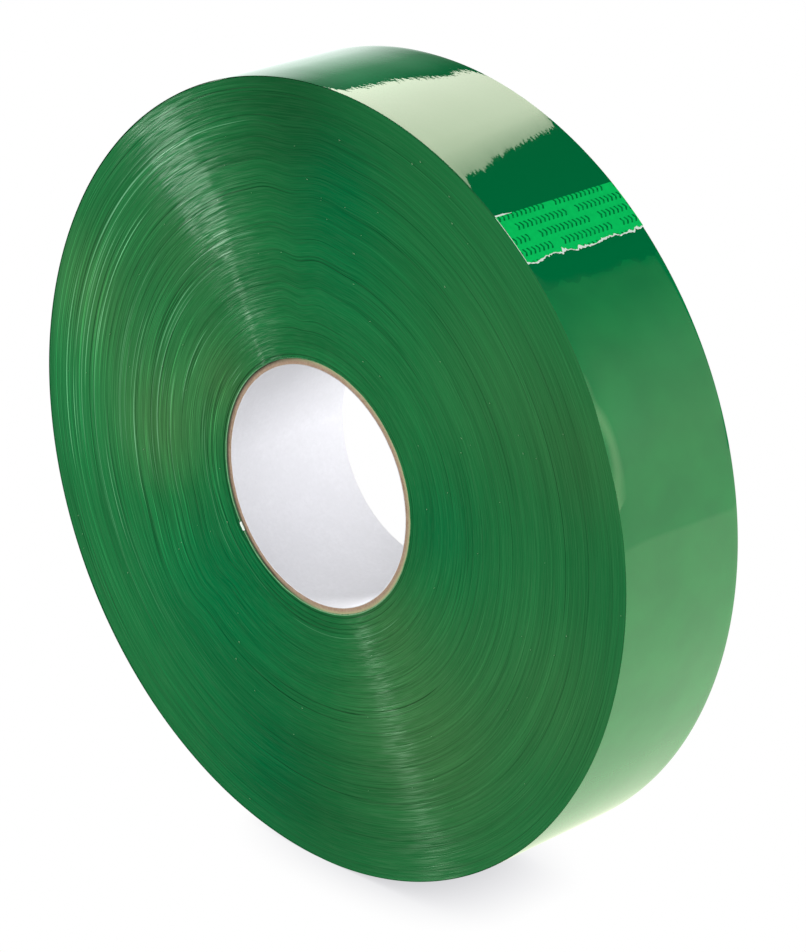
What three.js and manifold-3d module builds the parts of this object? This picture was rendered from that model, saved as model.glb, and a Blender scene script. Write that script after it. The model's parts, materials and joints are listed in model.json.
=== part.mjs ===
// A machine-length roll of carton-sealing (packing) tape: green film wound on a spiral paper core.
// Units are millimetres, +Z is up. The roll stands on its rim, its axis lies along Y and the origin is
// at the middle of that axis. Angles are in degrees about the axis, from +X towards +Z.

import * as THREE from 'three';
import { mergeVertices } from 'three/addons/utils/BufferGeometryUtils.js';
import Module from 'manifold-3d';

const manifoldLibrary = await Module();
manifoldLibrary.setup();

// ---- Driving dimensions -------------------------------------------------------------------------

const ROLL_DIAMETER = 252;
const TAPE_WIDTH = 48;
const FILM = 0.05; // film with its adhesive
const BORE_DIAMETER = 76.2; // the standard 3 inch core
const CORE_RECESS = 0.2; // the core stops this far inside each face of the roll

// The core is five spiral plies with a glue line between each pair.
const LINER_THICKNESS = 0.2;
const PLY_THICKNESS = 0.4;
const GLUE_LINE = 0.05;
const KRAFT_PLIES = 4;
const SEAM_LEAD = 136; // a ply's butt seam goes round once in this length
const SEAM_GAP = 0.6;
const SEAM_STEP = 75; // each ply's seam is turned this far from the one inside it, degrees
const SEAM_BLADE_REACH = 0.02; // how far a seam's cut runs past both faces of its ply

// Where the web starts: a folded white paper leader between the core and the first turns.
const LEADER_ANGLE = -146;
const LEADER_SWEEP = 4.2;
const LEADER_THICKNESS = 0.95;
const START_CLEARANCE = 0.1;
const START_TURNS_THICKNESS = 0.3; // about six turns of film
const STAND_OFF = 0.35; // the first turns bulge this far off the core beside the leader
const STAND_OFF_ANGLE = -158;
const STAND_OFF_REACH = 80;
const NOTCH_DEPTH = 0.45; // the wound turns rise over the leader
const NOTCH_FLAT = 3;
const NOTCH_REACH = 7;

// The outermost turn spirals in by this much, which leaves room for the paper tab under its end.
const LAST_TURN_PITCH = 0.25;
const PACK_CLEARANCE = 0.1;

// The free end of the web: hinged film lengths from the peel line to the torn end with its paper tab.
const TORN_END_ANGLE = 46.4;
const TAB_TOP_ANGLE = 54.1;
const PEEL_ANGLE = 85.5;
const TAIL_LENGTHS = 4;
const HINGE_GAP = 0.3;
const PAPER_THICKNESS = 0.1;
const PAPER_GAP = 0.02;
const PAPER_PROUD = 0.5; // the torn paper shows this far past the film
const TORN_DEPTH = 0.45;

// Facets round the roll, round the core and along the axis of a torn edge or a seam.
const ROLL_FACETS = 120;
const CORE_FACETS = 72;
const TAIL_STEP = 2;
const TORN_STEPS = 24;
const SEAM_STEPS = 16;

const FULL_TURN = 360;
const ROLL_RADIUS = ROLL_DIAMETER / 2;
const BORE_RADIUS = BORE_DIAMETER / 2;
const CORE_RADIUS = BORE_RADIUS + LINER_THICKNESS + KRAFT_PLIES * (PLY_THICKNESS + GLUE_LINE);

// ---- Materials ----------------------------------------------------------------------------------

function material(color, roughness) {
  return new THREE.MeshStandardMaterial({ color, roughness, metalness: 0 });
}

const greenFilm = material(0x2f7a45, 0.2);
const woundEdge = material(0x2a6a3c, 0.45);
const whitePaper = material(0xf2f2ee, 0.9);
const kraftPaper = material(0xc39678, 0.95);

// ---- Shapes -------------------------------------------------------------------------------------

function arcToDegrees(length, radius) {
  return THREE.MathUtils.radToDeg(length / radius);
}

function pointAt(angle, radius, y) {
  const radians = THREE.MathUtils.degToRad(angle);
  return [radius * Math.cos(radians), y, radius * Math.sin(radians)];
}

// Moves every vertex of a geometry to where `place` sends it.
function reshape(geometry, place) {
  const position = geometry.attributes.position;
  for (let i = 0; i < position.count; i += 1) {
    position.setXYZ(i, ...place(position.getX(i), position.getY(i), position.getZ(i)));
  }
  geometry.computeVertexNormals();
  return geometry;
}

// A strip of sheet lying on the roll. `radiusAt(angle)` is its outer radius.
// `edgeAt(y)` shifts its lower end along the circumference, in degrees, for a torn edge.
function rolledStrip({ from, to, radiusAt, thickness, width, step, edgeAt, edgeSteps = 1 }) {
  const steps = Math.ceil((to - from) / step);
  const sheet = new THREE.BoxGeometry(1, 1, 1, steps, edgeSteps, 1);
  return reshape(sheet, (along, across, through) => {
    const share = 0.5 - along;
    const y = across * width;
    const shift = edgeAt ? (1 - share) * edgeAt(y) : 0;
    const angle = from + share * (to - from);
    const radius = radiusAt(angle) - (0.5 - through) * thickness;
    return pointAt(angle + shift, radius, y);
  });
}

// A closed ring about the axis. A facet, not a corner, is at its lowest point.
function ring(innerRadius, outerRadius, width, facets) {
  const half = width / 2;
  const profile = [
    new THREE.Vector2(innerRadius, -half),
    new THREE.Vector2(outerRadius, -half),
    new THREE.Vector2(outerRadius, half),
    new THREE.Vector2(innerRadius, half),
    new THREE.Vector2(innerRadius, -half),
  ];
  return new THREE.LatheGeometry(profile, facets, Math.PI / facets);
}

function toManifold(geometry) {
  const bare = geometry.clone();
  bare.deleteAttribute('normal');
  bare.deleteAttribute('uv');
  const merged = mergeVertices(bare);
  const mesh = new manifoldLibrary.Mesh({
    numProp: 3,
    vertProperties: new Float32Array(merged.attributes.position.array),
    triVerts: new Uint32Array(merged.index.array),
  });
  return new manifoldLibrary.Manifold(mesh);
}

function fromManifold(solid) {
  const mesh = solid.getMesh();
  const geometry = new THREE.BufferGeometry();
  geometry.setAttribute('position', new THREE.BufferAttribute(mesh.vertProperties, 3));
  geometry.setIndex(new THREE.BufferAttribute(mesh.triVerts, 1));
  geometry.computeVertexNormals();
  return geometry;
}

// ---- The core -----------------------------------------------------------------------------------

// The sliver that a ply's helical butt seam leaves open.
function seamBlade(innerRadius, outerRadius, width, startAngle) {
  const length = width + SEAM_GAP;
  const blade = new THREE.BoxGeometry(SEAM_GAP, length, 1, 1, SEAM_STEPS, 1);
  const inner = innerRadius - SEAM_BLADE_REACH;
  const depth = outerRadius - innerRadius + 2 * SEAM_BLADE_REACH;
  return reshape(blade, (along, y, through) => {
    const turn = startAngle + (y / SEAM_LEAD) * FULL_TURN;
    const radius = inner + (through + 0.5) * depth;
    return pointAt(turn - arcToDegrees(along, outerRadius), radius, y);
  });
}

function corePly(innerRadius, thickness, startAngle) {
  const outerRadius = innerRadius + thickness;
  const width = TAPE_WIDTH - 2 * CORE_RECESS;
  const tube = toManifold(ring(innerRadius, outerRadius, width, CORE_FACETS));
  const seam = toManifold(seamBlade(innerRadius, outerRadius, width, startAngle));
  return fromManifold(tube.subtract(seam));
}

// ---- The wound web ------------------------------------------------------------------------------

function distanceInTurn(angle, centre) {
  return Math.abs(THREE.MathUtils.euclideanModulo(angle - centre + 180, FULL_TURN) - 180);
}

function standOff(angle) {
  const away = distanceInTurn(angle, STAND_OFF_ANGLE);
  return STAND_OFF * (1 - THREE.MathUtils.smoothstep(away, 0, STAND_OFF_REACH));
}

function leaderNotch(angle) {
  const away = distanceInTurn(angle, LEADER_ANGLE);
  return NOTCH_DEPTH * (1 - THREE.MathUtils.smoothstep(away, NOTCH_FLAT, NOTCH_REACH));
}

function startTurnsRadius(angle) {
  return CORE_RADIUS + START_CLEARANCE + START_TURNS_THICKNESS + standOff(angle);
}

function startTurns() {
  const clear = LEADER_SWEEP / 2 + arcToDegrees(START_CLEARANCE, CORE_RADIUS);
  return rolledStrip({
    from: LEADER_ANGLE + clear,
    to: LEADER_ANGLE + FULL_TURN - clear,
    radiusAt: startTurnsRadius,
    thickness: START_TURNS_THICKNESS,
    width: TAPE_WIDTH,
    step: FULL_TURN / CORE_FACETS,
  });
}

function paperLeader() {
  return rolledStrip({
    from: LEADER_ANGLE - LEADER_SWEEP / 2,
    to: LEADER_ANGLE + LEADER_SWEEP / 2,
    radiusAt: () => CORE_RADIUS + START_CLEARANCE + LEADER_THICKNESS,
    thickness: LEADER_THICKNESS,
    width: TAPE_WIDTH,
    step: TAIL_STEP,
  });
}

function woundPack() {
  const innerRadius = CORE_RADIUS + START_TURNS_THICKNESS + 2 * START_CLEARANCE;
  const outerRadius = ROLL_RADIUS - LAST_TURN_PITCH - FILM - PACK_CLEARANCE;
  const middle = (innerRadius + outerRadius) / 2;
  const turns = ring(innerRadius, outerRadius, TAPE_WIDTH, ROLL_FACETS);
  return reshape(turns, (x, y, z) => {
    const radius = Math.hypot(x, z);
    const angle = THREE.MathUtils.radToDeg(Math.atan2(z, x));
    const swell = radius < middle ? standOff(angle) + leaderNotch(angle) : 0;
    return pointAt(angle, radius + swell, y);
  });
}

function lastTurn() {
  return rolledStrip({
    from: PEEL_ANGLE,
    to: PEEL_ANGLE + FULL_TURN,
    radiusAt: (angle) => ROLL_RADIUS - LAST_TURN_PITCH * ((angle - PEEL_ANGLE) / FULL_TURN),
    thickness: FILM,
    width: TAPE_WIDTH,
    step: FULL_TURN / ROLL_FACETS,
  });
}

// ---- The free end -------------------------------------------------------------------------------

// How far a hand-torn edge wanders from a straight cut, in degrees of the roll.
function tornEdge(y) {
  const wander = 0.55 * Math.sin(0.41 * y + 1.1) + 0.3 * Math.sin(1.13 * y) + 0.25 * Math.sin(2.9 * y);
  return arcToDegrees(TORN_DEPTH * wander, ROLL_RADIUS);
}

function tailFilm(from, to, edge = {}) {
  const clear = arcToDegrees(HINGE_GAP / 2, ROLL_RADIUS);
  return rolledStrip({
    from: from + (edge.edgeAt ? 0 : clear),
    to: to - clear,
    radiusAt: () => ROLL_RADIUS,
    thickness: FILM,
    width: TAPE_WIDTH,
    step: TAIL_STEP,
    ...edge,
  });
}

function paperTab() {
  const proud = arcToDegrees(PAPER_PROUD, ROLL_RADIUS);
  const clear = arcToDegrees(HINGE_GAP / 2, ROLL_RADIUS);
  return rolledStrip({
    from: TORN_END_ANGLE - proud,
    to: TAB_TOP_ANGLE - clear,
    radiusAt: () => ROLL_RADIUS - FILM - PAPER_GAP,
    thickness: PAPER_THICKNESS,
    width: TAPE_WIDTH,
    step: TAIL_STEP,
    edgeAt: tornEdge,
    edgeSteps: TORN_STEPS,
  });
}

// ---- The assembly -------------------------------------------------------------------------------

const tapeRoll = new THREE.Group();

function add(name, geometry, surface) {
  const mesh = new THREE.Mesh(geometry, surface);
  mesh.name = name;
  tapeRoll.add(mesh);
}

function addCore() {
  add('core_liner', corePly(BORE_RADIUS, LINER_THICKNESS, 0), whitePaper);
  let innerRadius = BORE_RADIUS + LINER_THICKNESS + GLUE_LINE;
  for (let ply = 1; ply <= KRAFT_PLIES; ply += 1) {
    add(`core_ply_${ply}`, corePly(innerRadius, PLY_THICKNESS, ply * SEAM_STEP), kraftPaper);
    innerRadius += PLY_THICKNESS + GLUE_LINE;
  }
}

function addWeb() {
  add('start_leader', paperLeader(), whitePaper);
  add('start_turns', startTurns(), greenFilm);
  add('wound_turns', woundPack(), woundEdge);
  add('last_turn', lastTurn(), greenFilm);
}

function addTail() {
  const sweep = (PEEL_ANGLE - TAB_TOP_ANGLE) / TAIL_LENGTHS;
  for (let length = 1; length <= TAIL_LENGTHS; length += 1) {
    const to = PEEL_ANGLE - (length - 1) * sweep;
    add(`tail_film_${length}`, tailFilm(to - sweep, to), greenFilm);
  }
  const torn = { edgeAt: tornEdge, edgeSteps: TORN_STEPS };
  add('tab_film', tailFilm(TORN_END_ANGLE, TAB_TOP_ANGLE, torn), greenFilm);
  add('tab_paper', paperTab(), whitePaper);
}

addCore();
addWeb();
addTail();

export default tapeRoll;
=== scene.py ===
"""A machine-length roll of green packing tape, standing on its rim on a plain pale floor.

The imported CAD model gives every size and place. Lengths are in millimetres and angles in degrees about
the roll's axis, from +X towards +Z, until a mesh is made: Blender's own units are metres.
"""

import json
import math

import bpy
import numpy as np
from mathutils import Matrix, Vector

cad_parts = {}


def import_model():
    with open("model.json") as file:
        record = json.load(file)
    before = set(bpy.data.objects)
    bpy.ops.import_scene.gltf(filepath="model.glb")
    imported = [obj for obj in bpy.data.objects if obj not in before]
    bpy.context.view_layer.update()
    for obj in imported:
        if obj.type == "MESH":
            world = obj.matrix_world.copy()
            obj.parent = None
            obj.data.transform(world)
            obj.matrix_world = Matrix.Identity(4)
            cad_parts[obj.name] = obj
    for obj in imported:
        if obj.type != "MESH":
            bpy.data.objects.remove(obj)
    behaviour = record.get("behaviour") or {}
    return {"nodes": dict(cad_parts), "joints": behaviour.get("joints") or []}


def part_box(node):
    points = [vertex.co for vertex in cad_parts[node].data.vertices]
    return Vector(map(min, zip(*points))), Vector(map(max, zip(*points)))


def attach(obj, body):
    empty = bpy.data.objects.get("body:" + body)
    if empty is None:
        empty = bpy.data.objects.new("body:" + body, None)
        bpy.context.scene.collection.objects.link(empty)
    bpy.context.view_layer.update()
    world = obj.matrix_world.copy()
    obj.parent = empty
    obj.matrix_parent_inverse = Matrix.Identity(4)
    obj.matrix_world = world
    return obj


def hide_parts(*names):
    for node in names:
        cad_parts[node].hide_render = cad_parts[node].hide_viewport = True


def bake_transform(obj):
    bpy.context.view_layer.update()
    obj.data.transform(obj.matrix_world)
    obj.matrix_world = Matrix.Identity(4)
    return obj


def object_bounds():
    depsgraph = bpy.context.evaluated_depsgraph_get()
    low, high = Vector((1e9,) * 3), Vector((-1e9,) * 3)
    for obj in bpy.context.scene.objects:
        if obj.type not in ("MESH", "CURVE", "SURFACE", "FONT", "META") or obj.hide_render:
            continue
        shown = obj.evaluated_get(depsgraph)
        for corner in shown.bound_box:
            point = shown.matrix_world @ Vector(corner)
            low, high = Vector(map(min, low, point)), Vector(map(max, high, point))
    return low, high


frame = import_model()
cad_bounds = [list(corner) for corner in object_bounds()]

MM = 0.001
TURN = 360.0

# ---- What the frame says ----


def node_points(node):
    """The radius and the angle of a CAD node's corners."""
    co = np.array([v.co[:] for v in frame["nodes"][node].data.vertices]) / MM
    return np.hypot(co[:, 0], co[:, 2]), np.degrees(np.arctan2(co[:, 2], co[:, 0]))


def radii(node):
    radius = node_points(node)[0]
    return radius.min(), radius.max()


def angles(node):
    angle = node_points(node)[1]
    return angle.min(), angle.max()


def radius_round(node, outer):
    """A CAD node's outer or inner radius as a function of the angle."""
    radius, angle = node_points(node)
    rows = {}
    for r, a in zip(radius, np.round(angle, 2)):
        rows.setdefault(a, []).append(r)
    pick = max if outer else min
    known = sorted((a, pick(rs)) for a, rs in rows.items())
    at, value = np.array(known).T
    return lambda a: np.interp(a, at, value, period=TURN)


def hinge_angle(joint):
    x, _, z = next(j["pos_m"] for j in frame["joints"] if j["name"] == joint)
    return math.degrees(math.atan2(z, x))


def rim_arc(angle):
    """The length along the rim from +X, in mm."""
    return np.radians(angle) * ROLL_RADIUS


HALF_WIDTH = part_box("wound_turns")[1].y / MM
CORE_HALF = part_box("core_liner")[1].y / MM
CORE_RADIUS = radii("core_ply_4")[1]
ROLL_RADIUS = radii("tail_film_1")[1]
FILM = ROLL_RADIUS - radii("tail_film_1")[0]
PACK_RADIUS = radii("wound_turns")[1]
HINGES = [hinge_angle(n) for n in ("peel", "tail_bend_1", "tail_bend_2", "tail_bend_3", "tab_bend")]
TORN_ANGLE = angles("tab_film")[0]
FLOOR_Z = cad_bounds[0][2]

# ---- Smooth noise ----

NOISE_CELLS = 512
Y_SHIFT = 100


def smooth(t):
    t = np.clip(t, 0, 1)
    return t * t * (3 - 2 * t)


def between(value, low, high):
    """0 below low, 1 above high, smooth in between."""
    return smooth((value - low) / (high - low))


def bump_at(value, centre, reach):
    return np.exp(-(((value - centre) / reach) ** 2))


def turn_from(angle, centre):
    """The signed angle from centre, between -180 and 180."""
    return (angle - centre + TURN / 2) % TURN - TURN / 2


def noise(seed, a, b, cells=NOISE_CELLS):
    """Smooth noise from -1 to 1 with one value for each whole a and b. It repeats after `cells` in a."""
    values = np.random.default_rng(seed).uniform(-1, 1, (cells, NOISE_CELLS))
    a, b = np.broadcast_arrays(a, b)
    a0, b0 = np.floor(a).astype(int), np.floor(b).astype(int)
    fa, fb = smooth(a - a0), smooth(b - b0)
    low = values[a0 % cells, b0 % NOISE_CELLS] * (1 - fb)
    low = low + values[a0 % cells, (b0 + 1) % NOISE_CELLS] * fb
    high = values[(a0 + 1) % cells, b0 % NOISE_CELLS] * (1 - fb)
    high = high + values[(a0 + 1) % cells, (b0 + 1) % NOISE_CELLS] * fb
    return low * (1 - fa) + high * fa


def arc_noise(seed, turn, angle, pitch, arcs):
    """Noise that makes arcs: it changes with the turn every `pitch` mm and `arcs` times round the roll."""
    return noise(seed, angle / TURN * arcs, turn / pitch, cells=arcs)


def across_noise(seed, along, y, pitch):
    """Noise that changes every `pitch` mm across the tape, with y moved to keep its cells positive."""
    return noise(seed, along, (y + Y_SHIFT) / pitch)


# ---- Meshes ----

SHARP = math.radians(50)


def settle(obj, body, node=None):
    """Gives a piece its body. It stands for a CAD node, if one is named."""
    if node:
        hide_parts(node)
    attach(obj, body)


def new_object(name, data):
    obj = bpy.data.objects.new(name, data)
    bpy.context.scene.collection.objects.link(obj)
    return obj


def at(angle, radius, y):
    """Points in mm, from an angle, a radius and y."""
    a, radius, y = np.broadcast_arrays(np.radians(angle), radius, y)
    return np.stack([radius * np.cos(a), y, radius * np.sin(a)], axis=-1)


def make_object(name, points, faces, material, attributes=None):
    mesh = bpy.data.meshes.new(name)
    mesh.from_pydata((points.reshape(-1, 3) * MM).tolist(), [], faces.tolist())
    mesh.validate()
    mesh.shade_smooth()
    mesh.set_sharp_from_angle(angle=SHARP)
    for key, values in (attributes or {}).items():
        layer = mesh.attributes.new(key, "FLOAT", "POINT")
        layer.data.foreach_set("value", np.ravel(values).astype(np.float32))
    mesh.materials.append(material)
    return new_object(name, mesh)


def quads(index):
    """The faces of a grid of vertex numbers, facing along rows x columns."""
    corners = [index[:-1, :-1], index[1:, :-1], index[1:, 1:], index[:-1, 1:]]
    return np.stack(corners, axis=-1).reshape(-1, 4)


def closed_ring(name, points, material, attributes=None):
    """A body whose grid of points closes both along the profile and round the roll."""
    rows, columns = points.shape[:2]
    index = np.arange(rows * columns).reshape(rows, columns)
    index = np.vstack([index, index[:1]])
    index = np.hstack([index, index[:, :1]])
    return make_object(name, points, quads(index), material, attributes)


def sheet(name, outer, inner, material, attributes=None):
    """A closed sheet between two grids of points, angle by y."""
    rows, columns = outer.shape[:2]
    top = np.arange(rows * columns).reshape(rows, columns)
    under = top + rows * columns
    faces = [quads(top)[:, ::-1], quads(under)]
    for edge, sides in ((0, 1), (-1, -1)):
        faces.append(quads(np.stack([top[edge], under[edge]]))[:, ::sides])
        faces.append(quads(np.stack([top[:, edge], under[:, edge]]))[:, :: -sides])
    both = {k: np.stack([v, v]) for k, v in (attributes or {}).items()}
    return make_object(name, np.stack([outer, inner]), np.concatenate(faces), material, both)


def steps(low, high, size):
    return np.linspace(low, high, max(2, int(round((high - low) / size)) + 1))


# ---- Materials ----

# Inputs of the Principled node whose names aren't plain words.
INPUT_NAMES = {"ior": "IOR", "specular_IOR_level": "Specular IOR Level"}


class Tree:
    """A small helper that wires shader nodes."""

    def __init__(self, tree):
        self.tree = tree

    def add(self, kind, inputs=None, **settings):
        node = self.tree.nodes.new(kind)
        for key, value in settings.items():
            setattr(node, key, value)
        for key, value in (inputs or {}).items():
            self.put(node.inputs[key], value)
        return node

    def put(self, socket, value):
        if isinstance(value, bpy.types.NodeSocket):
            self.tree.links.new(value, socket)
        else:
            socket.default_value = value

    def math(self, operation, a, b=0.0, c=0.0):
        return self.add("ShaderNodeMath", {0: a, 1: b, 2: c}, operation=operation).outputs[0]

    def times(self, first, *others):
        for other in others:
            first = self.math("MULTIPLY", first, other)
        return first

    def combine(self, x=0.0, y=0.0, z=0.0):
        return self.add("ShaderNodeCombineXYZ", {0: x, 1: y, 2: z}).outputs[0]

    def grey(self, level):
        return self.combine(level, level, level)

    def vector(self, operation, a, b=(0.0, 0.0, 0.0)):
        return self.add("ShaderNodeVectorMath", {0: a, 1: b}, operation=operation).outputs

    def scaled(self, vector, factors):
        return self.vector("MULTIPLY", vector, factors)[0]

    def length(self, vector):
        return self.vector("LENGTH", vector)["Value"]

    def noise(self, vector, scale, detail=2.0, roughness=0.5):
        inputs = {"Vector": vector, "Scale": scale, "Detail": detail, "Roughness": roughness}
        return self.add("ShaderNodeTexNoise", inputs).outputs["Fac"]

    def ramp(self, value, stops):
        node = self.add("ShaderNodeValToRGB", {"Fac": value})
        elements = node.color_ramp.elements
        while len(elements) < len(stops):
            elements.new(0.5)
        for element, (place, colour) in zip(elements, stops):
            element.position = place
            element.color = (*colour, 1)
        return node.outputs["Color"]

    def range(self, value, low, high, to_low=0.0, to_high=1.0):
        inputs = {"Value": value, "From Min": low, "From Max": high, "To Min": to_low, "To Max": to_high}
        return self.add("ShaderNodeMapRange", inputs).outputs["Result"]

    def spread(self, value, to_low=0.0, to_high=1.0):
        """Maps the values that noise takes most of the time."""
        return self.range(value, 0.3, 0.7, to_low, to_high)

    def mix(self, factor, a, b, blend="MIX"):
        node = self.add("ShaderNodeMix", data_type="RGBA", blend_type=blend)
        self.put(node.inputs[0], factor)
        self.put(node.inputs[6], a if not isinstance(a, tuple) else (*a, 1))
        self.put(node.inputs[7], b if not isinstance(b, tuple) else (*b, 1))
        return node.outputs[2]

    def multiplied(self, colour, by):
        return self.mix(1.0, colour, by, blend="MULTIPLY")

    def bump(self, height, distance, strength=1.0):
        inputs = {"Height": height, "Distance": distance, "Strength": strength}
        return self.add("ShaderNodeBump", inputs).outputs["Normal"]

    def split(self, vector):
        return self.add("ShaderNodeSeparateXYZ", {0: vector}).outputs


class Nodes(Tree):
    """A material with a Principled surface."""

    def __init__(self, name):
        self.material = bpy.data.materials.new(name)
        self.material.use_nodes = True
        super().__init__(self.material.node_tree)
        self.surface = self.tree.nodes["Principled BSDF"]

    def set(self, **values):
        for key, value in values.items():
            self.put(self.surface.inputs[INPUT_NAMES.get(key, key.replace("_", " ").title())], value)

    def position(self):
        return self.add("ShaderNodeTexCoord").outputs["Object"]

    def millimetres(self):
        return self.scaled(self.position(), (1 / MM,) * 3)

    def attribute(self, name):
        return self.add("ShaderNodeAttribute", attribute_name=name).outputs["Fac"]

    def replace_surface(self, shader):
        self.tree.nodes.remove(self.surface)
        self.put(self.tree.nodes["Material Output"].inputs["Surface"], shader)


def rounded(nodes):
    """The position as (cosine, 0, sine) of the angle about the axis, which has no seam."""
    return nodes.vector("NORMALIZE", nodes.scaled(nodes.position(), (1, 0, 1)))[0]


STAND_OFF_WAY = (-0.6, 0.0, -0.8)


def stand_off(nodes, low, high):
    """From 0 to 1 round the core, towards the lower left where the first turns stand off it."""
    lean = nodes.vector("DOT_PRODUCT", rounded(nodes), STAND_OFF_WAY)["Value"]
    return nodes.range(lean, low, high)


def dimmed(colour, share):
    return tuple(share * c for c in colour)


# Colours, as linear red, green and blue.
WHITE = (1.0, 1.0, 1.0)
BLACK = (0.0, 0.0, 0.0)
FILM_GREEN = (0.003, 0.225, 0.06)
FILM_DEEP = (0.001, 0.192, 0.054)
FILM_PAINTED_SHADE = (0.0, 0.172, 0.05)
FILM_PAINTED_LIGHT = (0.012, 0.32, 0.105)
EDGE_GREEN = (0.013, 0.148, 0.042)
EDGE_TEAL = (0.001, 0.14, 0.043)
EDGE_OLIVE = (0.044, 0.152, 0.047)
EDGE_PAINTED_HIGHLIGHT = (0.3, 0.55, 0.38)
TAB_GREEN = (0.004, 0.66, 0.135)
MARK_GREEN = (0.0, 0.15, 0.035)
FIRST_TURNS_GLINT = (0.22, 0.52, 0.25)
PAPER_WHITE = (0.94, 0.94, 0.98)
TORN_WHITE = (0.84, 0.97, 0.88)
KRAFT = (0.317, 0.2, 0.125)
KRAFT_PALE = (0.418, 0.3, 0.211)
KRAFT_SHADED = (0.03, 0.03, 0.012)
KRAFT_OUTER_OLIVE = (0.42, 0.41, 0.22)
BURR_GREEN = (0.12, 0.4, 0.18)
BURR_PALE = (0.45, 0.62, 0.4)
PAPER_DARK = 0.93

# What the gloss of the film, the side face and the tab is tinted with.
FILM_SHEEN = (1.0, 1.0, 0.8, 1.0)
EDGE_SHEEN = (0.4, 1.0, 0.5, 1.0)
TAB_SHEEN = (1.0, 1.0, 0.86, 1.0)

# Past a scalloped line round this angle the film is painted darker, a painted shade above a lighter band.
SHADE_LINE_ANGLE = 42.5
SHADE_LINE_WANDER = 1.8
SHADE_LINE_PITCH = 0.15

# Between these angles the film's fine cords grow from the first strength to the second.
CORD_ANGLES = (46, 80)
CORD_STRENGTHS = (0.2, 0.85)


def film_material():
    """Glossy green film over many more layers of itself, with faint cloudy patches and fine cords."""
    n = Nodes("green_film")
    arc, across = n.attribute("arc"), n.attribute("across")
    flat = n.combine(arc, across)
    cloud = n.noise(flat, 0.06, 3.0)
    colour = n.mix(n.range(cloud, 0.35, 0.65), FILM_GREEN, FILM_DEEP)
    scallops = n.noise(n.combine(across), SHADE_LINE_PITCH, 1.5)
    scallops = n.spread(scallops, -SHADE_LINE_WANDER, SHADE_LINE_WANDER)
    from_line = n.math("SUBTRACT", n.math("SUBTRACT", arc, rim_arc(SHADE_LINE_ANGLE)), scallops)
    # Painted shade past the scalloped line.
    colour = n.mix(n.range(from_line, -0.15, 0.15), colour, FILM_PAINTED_SHADE)
    # Painted highlight on the spots.
    colour = n.mix(n.attribute("painted_light"), colour, FILM_PAINTED_LIGHT)
    cords = n.noise(n.scaled(flat, (0.5, 0.9, 1.0)), 1.0, 1.0)
    low, high = CORD_ANGLES
    strength = n.range(arc, rim_arc(low), rim_arc(high), *CORD_STRENGTHS)
    n.set(base_color=colour, roughness=n.spread(cloud, 0.015, 0.035), ior=1.5)
    n.set(specular_tint=FILM_SHEEN, normal=n.bump(cords, 0.013 * MM, strength))
    return n.material


def edge_material():
    """The wound edges of the film: fine arcs, one for each few turns, brushed round the axis."""
    n = Nodes("wound_edge")
    turn, tint, shade, line = (n.attribute(name) for name in ("turn", "tint", "shade", "line"))
    way = rounded(n)
    cosine, _, sine = n.split(way)

    def arcs(per_mm, round_the_roll, seed, detail=1.0):
        across = n.math("MULTIPLY_ADD", turn, per_mm, seed)
        wide = n.times(cosine, round_the_roll)
        high = n.times(sine, round_the_roll)
        return n.noise(n.combine(across, wide, high), 1.0, detail, 0.6)

    fine = arcs(2.8, 1.9, 0.0)
    medium = arcs(1.2, 1.5, 40.0)
    broad = arcs(0.14, 1.2, 90.0)
    broken = arcs(3.4, 10.0, 150.0)
    # The thin dark and bright lines are painted shade and painted highlights, with most contrast towards
    # -X, the side the light comes from.
    leaning = n.range(cosine, -0.45, -0.85)
    darkest = n.math("MULTIPLY_ADD", leaning, -0.2, 0.72)
    brightest = n.math("MULTIPLY_ADD", leaning, 0.85, 1.12)
    dark_lines = n.range(arcs(2.4, 1.3, 210.0), 0.3, 0.38, darkest, 1.0)
    bright_lines = n.range(arcs(3.6, 1.5, 260.0), 0.62, 0.7, 1.0, brightest)
    warm = n.mix(n.range(tint, 0.0, 1.0), EDGE_GREEN, EDGE_OLIVE)
    hue = n.mix(n.range(tint, 0.0, -1.0), warm, EDGE_TEAL)
    texture = n.spread(n.math("MULTIPLY_ADD", fine, 0.6, n.times(medium, 0.4)), 0.84, 1.16)
    # Proud turns are painted lighter and paler, a painted highlight. Sunk ones are painted darker, a
    # painted shade.
    proud = n.range(line, 0.3, 1.2, 1.0, 1.55)
    sunk = n.range(line, -1.1, -0.3, 0.4, 1.0)
    level = n.times(texture, dark_lines, bright_lines, n.spread(broad, 0.92, 1.08), shade, proud, sunk)
    pale = n.mix(n.range(line, 0.3, 1.2, 0.0, 0.28), hue, EDGE_PAINTED_HIGHLIGHT)
    colour = n.multiplied(pale, n.grey(level))
    height = n.math("MULTIPLY_ADD", fine, 0.7, medium)
    height = n.math("MULTIPLY_ADD", broken, 0.3, height)
    glint = n.times(n.attribute("gloss"), n.range(broken, 0.42, 0.66, 0.06, 2.0))
    n.set(base_color=colour, roughness=n.spread(medium, 0.27, 0.36), ior=1.49)
    n.set(anisotropic=1.0, tangent=way, normal=n.bump(height, 0.12 * MM))
    n.set(specular_tint=EDGE_SHEEN, specular_IOR_level=n.times(glint, 0.2))
    return n.material


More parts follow.
